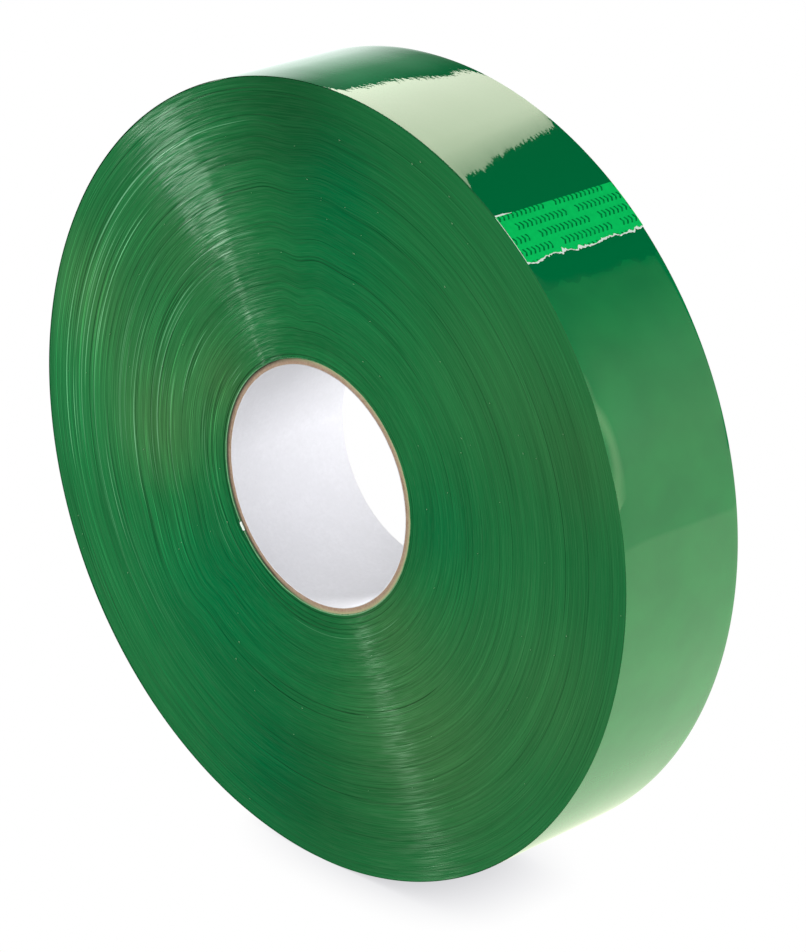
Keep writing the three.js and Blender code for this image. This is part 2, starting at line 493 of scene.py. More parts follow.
def first_turns_glint_material():
    """The first few turns beside the core: pale where they stand off it, a painted glint on their edges,
    and deep green elsewhere.
    """
    n = Nodes("first_turns_glint")
    arc, across = n.attribute("arc"), n.attribute("across")
    streaks = n.noise(n.combine(arc, across), 0.5, 2.0)
    # The pale colour is a painted glint.
    colour = n.mix(n.spread(streaks), FIRST_TURNS_GLINT, dimmed(FIRST_TURNS_GLINT, 0.7))
    colour = n.mix(stand_off(n, -0.45, 0.1), dimmed(EDGE_GREEN, 1.3), colour)
    n.set(base_color=colour, roughness=n.spread(streaks, 0.2, 0.35))
    n.set(normal=n.bump(streaks, 0.02 * MM))
    return n.material


# Rows of chevrons printed on the paper tab, in mm. The fill, ink and height are shares of a group of them,
# of a chevron's pitch and of a row. The start keeps places along a row positive.
MARK_ROW = 4.15
MARK_SHIFT = 6.1
MARK_GROUP = 24.8
MARK_FILL = 0.84
MARK_PITCH = 1.75
MARK_INK = 0.4
MARK_SLANT = 2.4
MARK_HEIGHT = 0.58
MARK_START = 500.0


def tab_material():
    """The film over the printed paper tab: bright from the white paper under it, with rows of chevrons."""
    n = Nodes("tab_film_over_paper")
    arc, across = n.attribute("arc"), n.attribute("across")
    row = n.math("DIVIDE", arc, MARK_ROW)
    row_number = n.math("FLOOR", row)
    in_row = n.math("FRACT", row)
    shifted = n.math("MULTIPLY_ADD", row_number, MARK_SHIFT, across)
    group = n.math("FRACT", n.math("DIVIDE", n.math("ADD", shifted, MARK_START), MARK_GROUP))
    from_middle = n.math("ABSOLUTE", n.math("SUBTRACT", in_row, 0.5))
    slanted = n.math("MULTIPLY_ADD", from_middle, MARK_SLANT, shifted)
    stripe = n.math("FRACT", n.math("DIVIDE", n.math("ADD", slanted, MARK_START), MARK_PITCH))
    in_ink = n.math("LESS_THAN", stripe, MARK_INK)
    in_height = n.math("LESS_THAN", from_middle, MARK_HEIGHT / 2)
    inked = n.times(in_ink, in_height, n.math("LESS_THAN", group, MARK_FILL))
    flat = n.combine(arc, across)
    mottle = n.noise(flat, 0.5, 3.0)
    paper = n.mix(n.spread(mottle), TAB_GREEN, dimmed(TAB_GREEN, 0.9))
    faded = n.times(inked, n.range(n.noise(flat, 1.3, 1.0), 0.3, 0.6, 0.55, 1.0))
    n.set(base_color=n.mix(faded, paper, MARK_GREEN), roughness=0.09, ior=1.5)
    n.set(specular_tint=TAB_SHEEN, normal=n.bump(mottle, 0.01 * MM))
    return n.material


def paper_material(name, colour, fibre=3.0, height=0.03, front=1.0, top=1.0):
    """White paper, painted darker at the roll's front edge and at the top of the bore, far in, as painted
    shade.
    """
    n = Nodes(name)
    place = n.millimetres()
    dark = dimmed(colour, PAPER_DARK)
    fibres = n.noise(place, fibre, 4.0, 0.65)
    clouds = n.noise(place, 0.15, 2.0)
    lit = n.mix(n.spread(fibres), dark, colour)
    lit = n.mix(n.range(clouds, 0.35, 0.65, 0.0, 0.5), lit, dark)
    _, across, up = n.split(place)
    # Painted shade: darker at the front edge and at the top far in.
    level = n.range(across, -HALF_WIDTH, 0.8 * HALF_WIDTH, front, 1.0)
    far_in = n.range(across, -HALF_WIDTH, HALF_WIDTH, 0.6, 1.0)
    shade = n.times(n.range(up, 0.0, CORE_RADIUS), far_in)
    level = n.times(level, n.math("MULTIPLY_ADD", shade, top - 1.0, 1.0))
    lit = n.multiplied(lit, n.grey(level))
    n.set(base_color=lit, roughness=n.spread(fibres, 0.8, 0.95))
    n.set(normal=n.bump(fibres, height * MM))
    return n.material


def kraft_material():
    """Greyboard plies seen end on: brown with paler fibres. Their outer edge is olive towards +X, and
    towards
    -X, where the film stands off it, it is painted dark as painted shade."""
    n = Nodes("kraft_ply")
    place = n.millimetres()
    fibres = n.noise(place, 1.4, 4.0, 0.7)
    lit = n.mix(n.range(fibres, 0.35, 0.65), KRAFT, KRAFT_PALE)
    out = n.length(n.scaled(place, (1, 0, 1)))
    # Painted shade on the outer edge towards -X.
    beside_film = n.mix(n.range(n.split(rounded(n))[0], 0.1, -0.5), KRAFT_OUTER_OLIVE, KRAFT_SHADED)
    lit = n.mix(n.range(out, CORE_RADIUS - 1.1, CORE_RADIUS - 0.1), lit, beside_film)
    n.set(base_color=lit, roughness=0.9, normal=n.bump(fibres, 0.05 * MM))
    return n.material


# ---- The wound turns ----

FRONT_RINGS = 300
BACK_RINGS = 112
PACK_STEPS = 240
RIM_MARGIN = 0.05
FACE_SET_BACK = 0.14

# Shares of the way from the bore to the rim, over which the turns' wander starts and ends, the bore's shape
# and the relief fade out, and the rim's soft front edge begins.
WANDER_START, WANDER_END = 0.06, 0.02
BORE_FADE = 0.05
RELIEF_FADE = 0.015
SOFT_START = 0.96

# A single turn's line is at most this high, in mm, and this share of it is modelled as relief.
MAX_LINE = 0.26
LINE_RELIEF = 0.25

# The groove beside the core: its distance from the bore of the turns, reach, depth and deepest angle.
GROOVE_OUT = 0.75
GROOVE_REACH = 0.3
GROOVE_DEPTH = 0.3
GROOVE_ANGLE = -160

# Places where the turns were wound over a dent and ripple: angle, reach, height in mm. The turns' radii say
# where the ripples start, are full, ebb and end. The kink is longer, and rises and falls between angles.
RIPPLES = [(96, 4.0, -1.3), (103.5, 3.5, 0.5), (88, 3.5, 0.3), (80, 4, -0.35)]
RIPPLE_TURNS = (44, 60, 108, 120)
KINK_RISE = (198, 217)
KINK_FALL = (221, 230)
KINK_HEIGHT = 2.5
KINK_TURNS = (46, 56, 82, 95)

# Turns that stand out as one line: the turn's radius, first angle, last angle, height in mm.
MARKED_TURNS = [
    (75.5, 165, 290, -0.24), (77.6, 128, 172, -0.26), (102.7, 130, 176, 0.22),
    (101.9, 128, 178, -0.14), (58.5, 190, 262, -0.22), (49.0, 150, 215, -0.25),
    (91.0, 30, 82, -0.2), (84.5, 8, 66, -0.2), (110.5, -20, 60, -0.16),
    (66.0, -40, 50, -0.14), (95.0, 185, 250, 0.12), (43.5, -150, -30, -0.22),
    (45.2, -130, -45, -0.2), (46.6, -165, -60, -0.2), (48.1, -110, -35, 0.16),
]
LINE_FADE = 12
PROUD_TURN = 0.2
BACK_LINES = 0.5

# The many less marked ones. The pack leans towards LEAN_ANGLE.
STRAY_TURNS = 150
STRAY_RADII = (42, 123)
STRAY_HALF = (9, 34)
STRAY_HEIGHT = (0.1, 0.24)
SUNK_SHARE = 0.45
LEAN_SHARE = 0.62
LEAN_ANGLE = 163
LEAN_SPREAD = 22


def stray_turns():
    """More single turns that stand proud or lie sunk, most of them on the side where the pack leans."""
    random = np.random.default_rng(9)
    found = []
    for _ in range(STRAY_TURNS):
        turn = random.uniform(*STRAY_RADII)
        leaning = random.random() < LEAN_SHARE
        middle = random.normal(LEAN_ANGLE, LEAN_SPREAD) if leaning else random.uniform(0, TURN)
        half = random.uniform(*STRAY_HALF)
        sunk = not leaning or random.random() < SUNK_SHARE
        height = random.uniform(*STRAY_HEIGHT) * (-1 if sunk else 1)
        found.append((turn, middle - half, middle + half, height))
    return found


def window(value, limits):
    """1 within the two middle limits, 0 beyond the outer two, smooth in between."""
    start, full, ebb, end = limits
    return between(value, start, full) * (1 - between(value, ebb, end))


def wander(turn, angle):
    """How far a turn lies outside its true circle."""
    out = 0.35 * arc_noise(31, turn, angle, 24, 9)
    for centre, reach, height in RIPPLES:
        out = out + height * bump_at(turn_from(angle, centre), 0, reach) * window(turn, RIPPLE_TURNS)
    way = angle % TURN
    kink = between(way, *KINK_RISE) * (1 - between(way, *KINK_FALL))
    return out + KINK_HEIGHT * kink * window(turn, KINK_TURNS)


def relief(seed, turn, angle):
    """How far the film's edge stands proud of the side face."""
    calm = 1 - 0.65 * between(turn, 110, 117) * bump_at(turn_from(angle, 10), 0, 75)
    ridges = 0.03 * arc_noise(seed, turn, angle, 0.55, 7)
    ridges = ridges + 0.04 * arc_noise(seed + 1, turn, angle, 1.3, 7)
    swell = 0.09 * arc_noise(seed + 2, turn, angle, 6, 5)
    return ridges * calm + swell


def lone_lines(turn, angle, spacing, lines):
    """The height of the turns that stand out as one line, each on the ring of the mesh nearest to it."""
    height = np.zeros(np.broadcast(turn, angle).shape)
    for place, first, last, amount in lines:
        middle, half = (first + last) / 2, (last - first) / 2
        fade = min(LINE_FADE, half)
        along = 1 - between(np.abs(turn_from(angle, middle)), half - fade, half)
        nearest = np.round((place - turn[0]) / spacing) * spacing + turn[0]
        height = height + amount * along * np.clip(1 - np.abs(turn - nearest) / spacing, 0, 1)
    return height


# The wedge where the turns' flanks face the left softbox: its first edge and width in degrees, and its
# level, by radius. The rest is plainer, but for a glint at the bottom.
WEDGE_EDGE = [(43, 122.5), (67, 119.4), (89, 116.6), (113, 119.5), (126, 120.2)]
WEDGE_WIDTH = [(43, 0.5), (72, 0.8), (79, 5.5), (87, 10.5), (126, 8.4)]
WEDGE_LEVEL = [(60, 0.85), (80, 0.95), (100, 0.82), (112, 0.62), (126, 0.45)]
PLAIN_GLOSS = 0.22
LOWER_GLINT = -64.5
LOWER_HALF = 3.6
LOWER_GLOSS = 0.75
BACK_GLOSS = 0.5


def gloss(radius, angle):
    """How glossy the front side face is: most of all in the wedge."""
    edge = np.interp(radius, *zip(*WEDGE_EDGE))
    width = np.interp(radius, *zip(*WEDGE_WIDTH))
    inside = between(angle, edge - 0.5, edge + 0.5) * (1 - between(angle, edge + width, edge + width + 2.5))
    inside = inside * np.interp(radius, *zip(*WEDGE_LEVEL))
    lower = bump_at(turn_from(angle, LOWER_GLINT), 0, LOWER_HALF) * (radius > 44)
    return PLAIN_GLOSS + (1 - PLAIN_GLOSS) * inside + LOWER_GLOSS * lower


# Broad patches of the side face: angle, radius, reach in mm and strength. TINTS run from teal (-1) to
# olive (1). The shades run from darker to lighter: they are painted shade and painted light.
TINTS = [
    (-130, 62, 40, -0.9), (82, 75, 26, -0.6), (2, 52, 16, -0.6),
    (-105, 115, 26, -0.5), (84, 100, 18, -0.6), (-100, 100, 16, -0.4),
    (180, 70, 25, 0.95), (160, 112, 22, 0.6), (-55, 82, 36, 0.8),
    (35, 95, 30, 0.3), (135, 85, 24, 0.3), (20, 118, 22, 0.35),
    (-20, 108, 28, 0.4), (150, 46, 16, 0.7), (-50, 46, 14, 0.4),
]
PAINTED_SHADES = [
    (-92, 108, 34, -0.26), (95, 122, 30, -0.4), (172, 92, 38, 0.24),
    (-58, 72, 28, 0.14), (160, 118, 16, 0.12), (-145, 112, 26, 0.1),
    (38, 100, 30, 0.1), (35, 55, 18, 0.12), (-15, 85, 26, 0.07),
    (160, 61, 13, 0.12), (-90, 46, 14, -0.1),
]


def patches(radius, angle, spots):
    place = at(angle, radius, 0)
    total = 0
    for bearing, distance, reach, amount in spots:
        away = np.linalg.norm(place - at(bearing, distance, 0), axis=-1)
        total = total + amount * bump_at(away, 0, reach)
    return np.clip(total, -1, 1)


def wound_turns(material):
    """The stack of turns: both side faces in full relief, the bore and the rim."""
    angle = np.arange(PACK_STEPS) * TURN / PACK_STEPS
    bore = radius_round("wound_turns", outer=False)(angle)
    rim = PACK_RADIUS + RIM_MARGIN

    def face(rings, side, seed):
        share = np.linspace(0, 1, rings)[:, None]
        turn = bore.min() + share * (rim - bore.min())
        fade = smooth(share / WANDER_START) * smooth((1 - share) / WANDER_END)
        radius = turn + wander(turn, angle) * fade
        radius = radius + (bore - bore.min()) * (1 - smooth(share / BORE_FADE))
        if side < 0:
            radius = radius - soft_drop(angle) * between(share, SOFT_START, 1)
        height = relief(seed, turn, angle) * smooth((1 - share) / RELIEF_FADE)
        spacing = (rim - bore.min()) / (rings - 1)
        turned = angle if side < 0 else -angle
        line = lone_lines(turn, turned, spacing, MARKED_TURNS + stray_turns())
        line = line * (1.0 if side < 0 else BACK_LINES)
        groove = bump_at(turn - bore.min(), GROOVE_OUT, GROOVE_REACH)
        groove = groove * (0.5 + 0.5 * bump_at(turn_from(turned, GROOVE_ANGLE), 0, 90))
        line = np.clip(line, -MAX_LINE, MAX_LINE) - GROOVE_DEPTH * groove
        points = at(angle, radius, side * (HALF_WIDTH - FACE_SET_BACK + height + LINE_RELIEF * line))
        values = {"turn": np.broadcast_to(turn, radius.shape), "line": line / PROUD_TURN}
        values["tint"] = patches(radius, turned, TINTS)
        # Painted shade and painted light on the side face.
        values["shade"] = 1 + patches(radius, turned, PAINTED_SHADES)
        values["gloss"] = gloss(radius, turned) if side < 0 else np.full(radius.shape, BACK_GLOSS)
        return points, values

    front, front_values = face(FRONT_RINGS, -1, 51)
    back, back_values = face(BACK_RINGS, 1, 71)
    points = np.concatenate([front, back[::-1]])
    attributes = {k: np.concatenate([front_values[k], back_values[k][::-1]]) for k in front_values}
    obj = closed_ring("wound_turns_stack", points, material, attributes)
    settle(obj, "roll", "wound_turns")


# ---- The film on the rim ----

LOWEST_ANGLE = -90

# The film's edges roll down over this width, by these drops, in mm. The back one drops more past the top.
EDGE_ROLL = 2.0
FRONT_DROP = 0.02
BACK_DROP = 0.08
TOP_ANGLE = 86
TOP_REACH = 6

# The film's fine cords and broad waves, in mm. The waves are lower round the angle where the film is taut.
CORDS = 0.005
WAVES = 0.045
TAUT_WAVES = 0.028
TAUT_ANGLE = 63
TAUT_REACH = 12

# The outermost turns' front edge is pressed down round this angle, over this width and by this drop, in mm.
SOFT_ROLL = 5.5
SOFT_DROP = 0.55
SOFT_ANGLE = 21
SOFT_REACH = 10

# Spots where the rim's film is painted lighter, a painted highlight: angle, y, reach in mm and strength.
PAINTED_LIGHT_SPOTS = [
    (96, 0, 22, 0.95),
    (88, -12, 12, 0.5),
    (88, 14, 10, 0.4),
    (31, 12, 14, 0.15),
    (24, -16, 12, 0.2),
]


def soft_drop(angle):
    """How far the outermost turns' front edge is pressed down, on the side towards +X."""
    dents = 0.8 + 0.4 * noise(15, (angle % TURN) / 3, 0)
    return SOFT_DROP * dents * bump_at(turn_from(angle, SOFT_ANGLE), 0, SOFT_REACH)


def film_wave(angle, y):
    """How far the film stands off a true cylinder: fine cords round the roll and broad soft waves."""
    arc = rim_arc(angle)
    cords = CORDS * across_noise(12, arc / 7, y, 3.5)
    taut = bump_at(angle, TAUT_ANGLE, TAUT_REACH)
    waves = (WAVES - TAUT_WAVES * taut) * across_noise(13, arc / 24, y, 13)
    from_edge = HALF_WIDTH - np.abs(y)
    beyond_top = between(angle, TOP_ANGLE - TOP_REACH, TOP_ANGLE + TOP_REACH)
    back = FRONT_DROP + (BACK_DROP - FRONT_DROP) * beyond_top
    drop = np.where(y < 0, FRONT_DROP, back)
    roll = drop * np.clip(1 - from_edge / EDGE_ROLL, 0, 1) ** 2
    roll = roll + soft_drop(angle) * (y < 0) * np.clip(1 - from_edge / SOFT_ROLL, 0, 1) ** 2
    return cords + waves - roll


# How much a point of the rim is painted lighter, as a painted highlight.
def painted_light_share(angle, y):
    total = np.zeros(angle.shape)
    for centre, across, reach, amount in PAINTED_LIGHT_SPOTS:
        away = np.hypot(rim_arc(turn_from(angle, centre)), y - across)
        total = total + amount * bump_at(away, 0, reach)
    return np.clip(total, 0, 1)


def film_sheet(name, low, high, material, step=0.6, across=0.6, top=None, torn=None):
    """A length of film lying on the roll. top(angle) is its outer radius; torn(y) shifts its lower end."""
    angle = steps(low, high, step)[:, None]
    y = steps(-HALF_WIDTH, HALF_WIDTH, across)[None, :]
    if torn is not None:
        share = np.clip((angle - low) / TORN_REACH, 0, 1)
        angle = angle + (1 - share) * torn(y)
    angle, y = np.broadcast_arrays(angle, y)
    radius = (top(angle) if top else ROLL_RADIUS) + film_wave(angle, y)
    opposite = LOWEST_ANGLE + TURN / 2
    arc = rim_arc(turn_from(angle, opposite) + opposite)
    attributes = {"arc": arc, "across": y, "painted_light": painted_light_share(angle, y)}
    return sheet(name, at(angle, radius, y), at(angle, radius - FILM, y), material, attributes)


def last_turn(material):
    """The outermost fixed turn, from the peel line all the way round to under the free end."""
    start = HINGES[0]
    outer = radius_round("last_turn", outer=True)
    low = outer(start - 4)

    def top(angle):
        share = (angle - start) / TURN
        return ROLL_RADIUS + (low - ROLL_RADIUS) * share

    obj = film_sheet("last_turn_film", start, start + TURN, material, top=top)
    settle(obj, "roll", "last_turn")


# ---- The free end ----

TORN_REACH = 3.0
PAPER_PROUD = 0.06

# Where the film tore back from the paper: place across the tape, half width and depth in mm.
TEARS = [(-18.6, 0.9, 0.5), (-9.2, 0.8, 1.3), (-8.1, 0.5, 0.7), (-2.8, 1.3, 1.1), (-0.6, 0.6, 0.5)]
TEARS += [(6.5, 0.6, 0.4), (12.0, 0.7, 0.3), (18.2, 0.9, 0.8), (21.6, 0.7, 0.7)]


def torn_line(y):
    """How far the torn end wanders along the rim, in mm."""
    wide = 0.8 + 0.5 * across_noise(21, 0, y, 6) + 0.42 * across_noise(22, 0, y, 1.7)
    return wide + 0.2 * across_noise(23, 0, y, 0.6)


def torn_edge(y):
    """The film's torn end, in degrees along the rim."""
    back = 0.1 + 0.1 * across_noise(28, 0, y, 0.5)
    for place, half, depth in TEARS:
        back = back + depth * np.clip(1 - np.abs(y - place) / half, 0, 1)
    return np.degrees((torn_line(y) + back) / ROLL_RADIUS)


def paper_edge(y):
    """The paper's torn end. It shows past the film, by more where the fibres pulled out."""
    proud = 0.34 + 0.22 * across_noise(24, 0, y, 2.3) + 0.2 * across_noise(25, 0, y, 0.6)
    return np.degrees((torn_line(y) - np.clip(proud, 0.08, None)) / ROLL_RADIUS)


def tail_lengths(material):
    """The free end, in lengths that each reach over one hinge, from the middle of one stretch between
    hinges to the next.
    """
    middles = [HINGES[0]]
    middles += [(a + b) / 2 for a, b in zip(HINGES[:-1], HINGES[1:])]
    middles.append(HINGES[-1])
    for k, (high, low) in enumerate(zip(middles[:-1], middles[1:])):
        obj = film_sheet("free_end_length_%d" % (k + 1), low, high, material, step=0.25, across=0.4)
        start, end = (tuple(at(angle, ROLL_RADIUS, 0) * MM) for angle in (high, low))
        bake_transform(obj)
        node = "tail_film_%d" % (k + 1)
        if node in frame["nodes"]:
            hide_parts(node)


def tab_film(material):
    low, high = TORN_ANGLE, HINGES[-1]
    obj = film_sheet("tab_film_sheet", low, high, material, step=0.25, across=0.2, torn=torn_edge)
    settle(obj, "tab", "tab_film")


def tab_paper(material):
    """White paper under the film, torn across its end and curled up a little along the tear."""
    inner, outer = radii("tab_paper")
    angle = steps(TORN_ANGLE, HINGES[-1] - 0.1, 0.12)[:, None]
    y = steps(-HALF_WIDTH - PAPER_PROUD, HALF_WIDTH - 0.1, 0.15)[None, :]
    near = np.clip(1 - (angle - TORN_ANGLE) / TORN_REACH, 0, 1)
    angle = angle + near * paper_edge(y)
    lip = np.clip(1 - (angle - TORN_ANGLE - paper_edge(y)) / 0.3, 0, 1)
    lift = lip * (0.07 + 0.05 * across_noise(26, 0, y, 0.8))
    angle, y = np.broadcast_arrays(angle, y)
    wave = film_wave(angle, y)
    upper, under = (at(angle, radius + wave + lift, y) for radius in (outer, inner))
    obj = sheet("tab_paper_sheet", upper, under, material)
    settle(obj, "tab", "tab_paper")


CORNER_LENGTH = 6.4
CORNER_FULL = 2.5
CORNER_THICK = 0.05


def tab_corner(material):
    """The corner of the paper that shows past the film at the tab's upper edge: a thin curled sliver."""
    y = steps(-HALF_WIDTH, -HALF_WIDTH + CORNER_LENGTH, 0.2)[None, :]
    share = np.linspace(0, 1, 6)[:, None]
    taper = 1 - between(y, -HALF_WIDTH + CORNER_FULL, -HALF_WIDTH + CORNER_LENGTH)
    width = np.degrees((0.12 + 0.42 * taper + 0.08 * across_noise(27, 0, y, 0.7)) / ROLL_RADIUS)
    angle = HINGES[-1] - 0.02 + width * share
    y = np.broadcast_to(y, angle.shape)
    wave = film_wave(angle, y)
    outer = ROLL_RADIUS + wave + CORNER_THICK + 0.05 * np.sin(np.pi * share) * np.ones_like(y)
    obj = sheet("tab_paper_corner", at(angle, outer, y), at(angle, outer - CORNER_THICK, y), material)
    settle(obj, "tab")


# ---- The core ----

PLIES = 4
SEAM_LEAD = 136
SEAM_GAP = 0.25
SEAM_OFFSET = 75


def core_ply(name, node, start_angle, material, step, across):
    """One spiral ply: a strip wound once round, whose two ends meet in a butt seam along a helix."""
    inner, outer = radii(node)
    y = steps(-CORE_HALF, CORE_HALF, across)[None, :]
    gap = math.degrees(SEAM_GAP / outer)
    along = steps(gap / 2, TURN - gap / 2, step)[:, None]
    angle = start_angle + along + y / SEAM_LEAD * TURN
    y = np.broadcast_to(y, angle.shape)
    ends = between(np.abs(y), CORE_HALF - 0.01, CORE_HALF)
    fuzz = 0.06 * ends * noise(33 + int(inner * 10), angle * 0.8, 0)
    worn = 0.015 * across_noise(34, angle / 9, y, 12)
    y = y + np.sign(y) * fuzz
    obj = sheet(name, at(angle, outer + worn, y), at(angle, inner + worn, y), material)
    settle(obj, "roll", node)


def core(liner_paper, kraft):
    core_ply("core_liner_tube", "core_liner", 0, liner_paper, 2, 0.5)
    for k in range(1, PLIES + 1):
        core_ply("core_ply_tube_%d" % k, "core_ply_%d" % k, SEAM_OFFSET * k, kraft, 2.5, 1.0)


# ---- The start of the web ----

LEADER_GAP = 0.3


def start_turns(material):
    """The first few turns, from one side of the leader round to the other, with a slightly frilled edge."""
    low, high = angles("start_leader")
    outer_radius = radius_round("start_turns", outer=True)
    inner_radius = radius_round("start_turns", outer=False)
    angle = steps(high + LEADER_GAP, low - LEADER_GAP + TURN, 1.0)[:, None]
    y = steps(-HALF_WIDTH, HALF_WIDTH, 1.5)[None, :]
    angle, y = np.broadcast_arrays(angle, y)
    frill = (0.08 + 0.07 * noise(41, angle / 3.5, 0)) * (np.abs(y) > HALF_WIDTH - 0.1)
    lean = 0.04 * noise(42, angle / 4, 0)
    cut = y - np.sign(y) * frill
    attributes = {"arc": np.radians(angle) * outer_radius(angle), "across": y}
    outer, inner = (at(angle, radius(angle) + lean, cut) for radius in (outer_radius, inner_radius))
    obj = sheet("start_turns_web", outer, inner, material, attributes)
    settle(obj, "roll", "start_turns")


def start_leader(material):
    """The folded paper at the web's start, creased and thinner towards its ends."""
    low, high = angles("start_leader")
    inner, outer = radii("start_leader")
    angle = steps(low, high, 0.35)[:, None]
    y = steps(-HALF_WIDTH + 0.05, HALF_WIDTH - 0.05, 0.8)[None, :]
    angle, y = np.broadcast_arrays(angle, y)
    crease = 0.05 * across_noise(43, angle * 1.3, y, 3)
    ends = 1 - 0.35 * between(np.abs(turn_from(angle, (low + high) / 2)), 1.6, 2.1)
    thick = (outer - inner) * ends
    upper, under = at(angle, inner + thick + crease, y), at(angle, inner + crease, y)
    obj = sheet("start_leader_fold", upper, under, material)
    settle(obj, "roll", "start_leader")


# ---- Burrs on the side faces ----

BURRS = 150
FRONT_SHARE = 0.6
BURR_RADII = (44, 124)
BURR_LENGTH = (0.15, 0.75)
BURR_WIDTH = (0.06, 0.16)
BURR_ROOT = 0.16
BURR_HEIGHT = 0.3


def burrs(material):
    """Slivers of film that the slitting knives left on the side faces."""
    random = np.random.default_rng(5)
    side = np.where(random.random(BURRS) < FRONT_SHARE, -1.0, 1.0)
    radius = np.sqrt(random.uniform(BURR_RADII[0] ** 2, BURR_RADII[1] ** 2, BURRS))
    angle = random.uniform(0, TURN, BURRS)
    length = random.uniform(*BURR_LENGTH, BURRS)
    width = random.uniform(*BURR_WIDTH, BURRS)
    heading = random.normal(0, 0.35, BURRS) + math.pi / 2
    points, faces = [], []
    for k in range(BURRS):
        way = angle[k] + math.degrees(heading[k])
        along, beside = at(way, 1, 0), at(way + TURN / 4, 1, 0)
        proud = np.array([0, side[k], 0])
        base = at(angle[k], radius[k], 0) + proud * (HALF_WIDTH - BURR_ROOT)
        tip = base + along * length[k] + proud * BURR_HEIGHT
        crest = base + proud * (BURR_HEIGHT + 0.02) + beside * width[k] / 2
        body = [base, base + beside * width[k], crest, tip]
        centre = sum(body) / 4
        for face in [(0, 1, 2), (0, 3, 1), (1, 3, 2), (2, 3, 0)]:
            p, q, r = (body[i] for i in face)
            outward = np.cross(q - p, r - p) @ ((p + q + r) / 3 - centre)
            face = face if outward > 0 else face[::-1]
            faces.append([len(points) + i for i in face])
        points += body
    obj = make_object("edge_burrs", np.array(points), np.array(faces), material)
    settle(obj, "roll")


def burr_material():
    n = Nodes("film_burr")
    colour = n.mix(n.noise(n.millimetres(), 0.8), BURR_GREEN, BURR_PALE)
    n.set(base_color=colour, roughness=0.35)
    return n.material


# ---- The studio ----

# The camera, in degrees and metres, with its shift to the right and up.
CAMERA_AZIMUTH = 45.18
CAMERA_ELEVATION = 21.75
CAMERA_DISTANCE = 1.10366
CAMERA_SHIFT = (0.00928, -0.00289)
LENS = 136.06
SENSOR = 36

# Two lamps: azimuth and elevation, distance and width in metres, and glow.
FRONT_LAMP = ((-45, 60), 2.0, 1.2, 2.3)
BORE_LAMP = ((62, 24), 1.5, 0.8, 4.1)

# The softboxes: their distance in metres and the grid that bends them.
BACK_BOX_AWAY = 1.6
LEFT_BOX_AWAY = 1.2
PANEL_STEPS = 6

# The back softbox's image on the rim: half its width in mm, its top and bottom edges in degrees, with their
# slopes per mm, and its brightness from top to bottom.
PATCH_HALF = 60
PATCH_TOP, PATCH_TOP_SLOPE = 83.3, 0.085
PATCH_BOTTOM, PATCH_BOTTOM_SLOPE = 63.4, 0.09
PATCH_GLOW = 5.6
PATCH_FADE = ((0.0, 0.78), (0.4, 0.91), (0.68, 1.0), (0.8, 0.95), (1.0, 0.57))
PATCH_COLOUR = (1.0, 1.0, 0.86)

# The left softbox's image on the side face, and how far the turns' flanks that show it are tilted.
WEDGE_ANGLES = (114, 131)
WEDGE_TILTS = (12, 36)
WEDGE_RADIUS = 110
WEDGE_GLOW = 29


def direction(azimuth, elevation):
    """A unit vector, with the azimuth counted from +X towards +Y."""
    az, el = math.radians(azimuth), math.radians(elevation)
    return Vector((math.cos(az) * math.cos(el), math.sin(az) * math.cos(el), math.sin(el)))


def camera_axes():
    """Unit vectors from the roll towards the camera, to the picture's right and to its top."""
    back = direction(CAMERA_AZIMUTH - TURN / 4, CAMERA_ELEVATION)
    right = direction(CAMERA_AZIMUTH, 0)
    return back, right, back.cross(right)


def camera_place():
    back, right, up = camera_axes()
    return back * CAMERA_DISTANCE + right * CAMERA_SHIFT[0] + up * CAMERA_SHIFT[1]


def aimed(name, data, place, way):
    """An object that looks along `way`."""
    obj = new_object(name, data)
    obj.location = place
    obj.rotation_mode = "QUATERNION"
    obj.rotation_quaternion = way.to_track_quat("-Z", "Y")
    return obj


def camera():
    data = bpy.data.cameras.new("camera")
    data.lens = LENS
    data.sensor_width = SENSOR
    bpy.context.scene.camera = aimed("camera", data, camera_place(), -camera_axes()[0])


def rim_spot(angle, y):
    """A point of the rim, with the normal there."""
    return Vector(at(angle, ROLL_RADIUS, y)) * MM, Vector(at(angle, 1, 0))


def face_spot(angle, radius, tilt):
    """A point of the front side face, on a flank of a turn that is tilted away from the axis."""
    tilt = math.radians(tilt)
    normal = Vector(at(angle, math.sin(tilt), -math.cos(tilt)))
    return Vector(at(angle, radius, -HALF_WIDTH)) * MM, normal


def mirrored(spot):
    """The direction that the camera sees mirrored at a spot."""
    point, normal = spot
    sight = (point - camera_place()).normalized()
    return sight - 2 * sight.dot(normal) * normal


def glowing(name, strength, colour, fade):
    """A glow that changes from a panel's first edge to its last, as `fade` says."""
    n = Nodes(name)
    level = n.ramp(n.attribute("down"), [(place, (share,) * 3) for place, share in fade])
    tinted = n.multiplied(level, colour)
    n.replace_surface(n.add("ShaderNodeEmission", {"Strength": strength, "Color": tinted}).outputs[0])
    return n.material


def softbox_seen_at(name, spot, distance, strength, colour=WHITE, fade=((0, 1), (1, 1))):
    """A gently curved glowing panel, placed so that its mirror image fills a patch of the roll.

    spot(u, v) is a point of the patch with its normal, for u and v from 0 to 1.
    """
    count = PANEL_STEPS + 1
    shares = np.linspace(0, 1, count)
    spots = [spot(u, v) for u in shares for v in shares]
    corners = [tuple(place + mirrored((place, normal)) * distance) for place, normal in spots]
    mesh = bpy.data.meshes.new(name)
    mesh.from_pydata(corners, [], quads(np.arange(count * count).reshape(count, count)).tolist())
    down = mesh.attributes.new("down", "FLOAT", "POINT")
    down.data.foreach_set("value", np.repeat(shares, count).astype(np.float32))
    mesh.materials.append(glowing(name, strength, colour, fade))
    obj = new_object(name, mesh)
    obj.visible_camera = False


